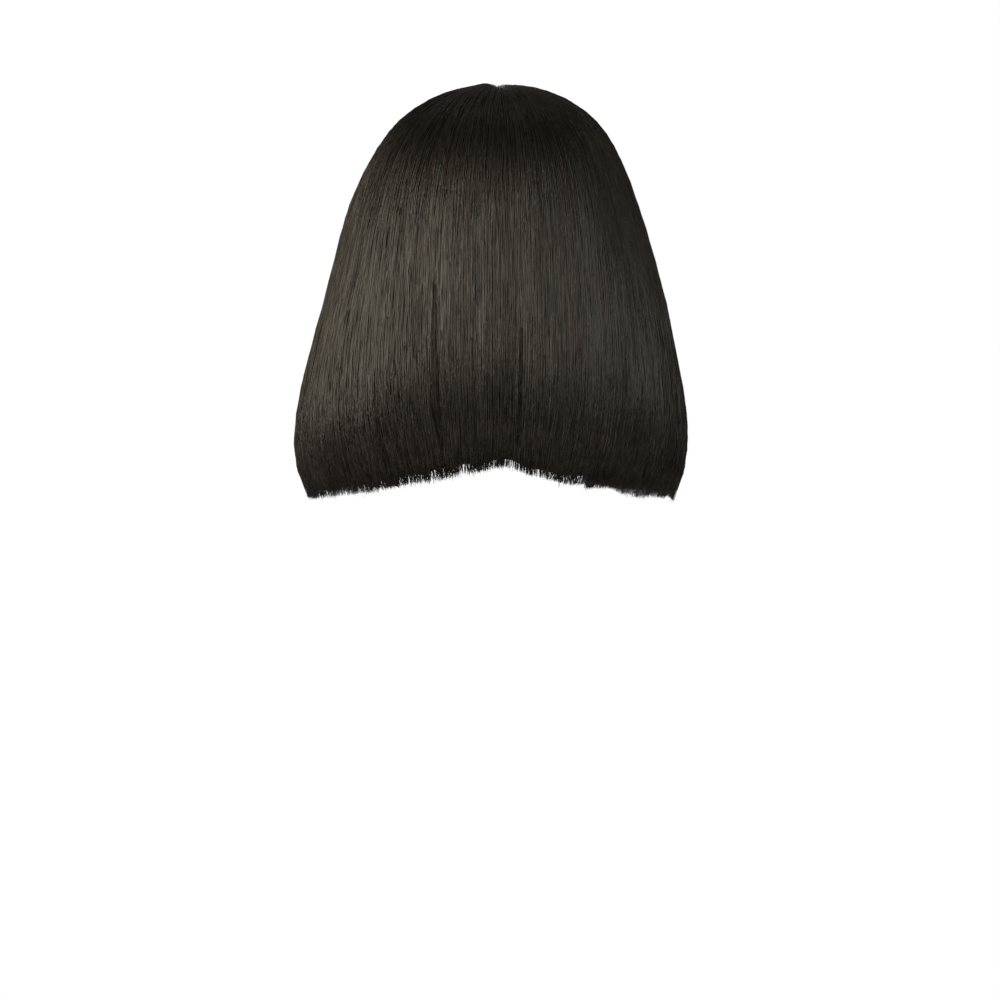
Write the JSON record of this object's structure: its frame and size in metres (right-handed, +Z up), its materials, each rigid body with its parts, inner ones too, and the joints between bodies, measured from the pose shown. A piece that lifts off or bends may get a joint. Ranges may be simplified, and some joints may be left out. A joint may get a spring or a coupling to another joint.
{
  "type": "bob wig",
  "caption": "Straight dark bob wig on a net cap, with an open head hollow, a parting at the crown and ends curled under at the shoulders.",
  "frame": {"origin": "point inside the cap where the crown of the head sits", "axes": "+Z up, -Y towards the face opening, +X to the wearer's left"},
  "size_m": [0.2753, 0.2146, 0.2895],
  "materials": {
    "hair": "fine straight fibre, soft sheen",
    "weft_hair": "fine straight fibre, matt",
    "cap_net": "matt net",
    "parting_skin": "matt skin-toned silk"
  },
  "bodies": {
    "root": {"wig_cap": "cap_net", "parting_strip": "parting_skin", "back_fall": "hair", "side_fall_left": "hair", "side_fall_right": "hair", "under_weft_back": "weft_hair", "under_weft_left": "weft_hair", "under_weft_right": "weft_hair"}
  },
  "joints": []
}
